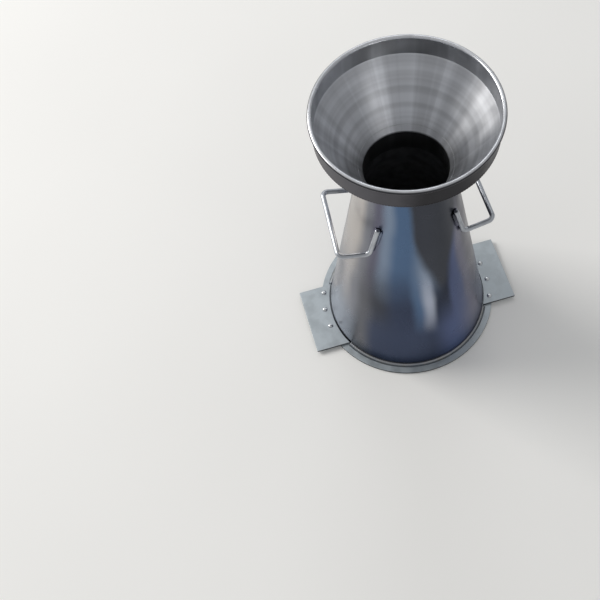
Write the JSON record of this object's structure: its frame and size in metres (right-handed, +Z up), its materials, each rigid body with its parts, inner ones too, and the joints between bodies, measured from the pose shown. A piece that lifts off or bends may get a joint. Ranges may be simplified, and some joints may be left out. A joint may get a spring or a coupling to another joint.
{
  "type": "slump cone",
  "caption": "Open conical steel mould for the concrete slump test, with foot plates, bent-rod handles and a seated filling funnel that lifts off.",
  "frame": {"origin": "centre of the mould's open base, in the plane that the base ring stands on", "axes": "+Z up the mould's axis, +X to the right-hand handle and foot plate, -Y the front side of the picture"},
  "size_m": [0.271, 0.226, 0.3978],
  "materials": {
    "mould_steel": "smooth semi-gloss plated sheet",
    "plate_steel": "satin plated plate",
    "zinc_rod": "bright zinc-plated round rod",
    "rivet_steel": "bright domed heads",
    "weld_steel": "dressed weld bead",
    "funnel_steel": "spun sheet with fine circular turning marks"
  },
  "bodies": {
    "mould": {"cone_shell": "mould_steel", "shell_seam_weld": "weld_steel", "base_ring": "mould_steel", "front_base_weld": "weld_steel", "rear_base_weld": "weld_steel", "left_foot_plate": "plate_steel", "right_foot_plate": "plate_steel", "left_foot_rivets": "rivet_steel", "right_foot_rivets": "rivet_steel", "left_handle": "zinc_rod", "right_handle": "zinc_rod", "left_handle_front_weld": "weld_steel", "left_handle_rear_weld": "weld_steel", "right_handle_front_weld": "weld_steel", "right_handle_rear_weld": "weld_steel"},
    "funnel": {"funnel_bowl": "funnel_steel", "funnel_rim_band": "funnel_steel", "rim_band_seam_weld": "weld_steel", "funnel_rim_weld": "weld_steel", "funnel_neck": "funnel_steel", "funnel_neck_weld": "weld_steel"}
  },
  "joints": [
    {"name": "funnel_lift", "type": "slide", "parent": "mould", "child": "funnel", "axis": [0, 0, 1], "range_m": [0, 0.06]}
  ]
}
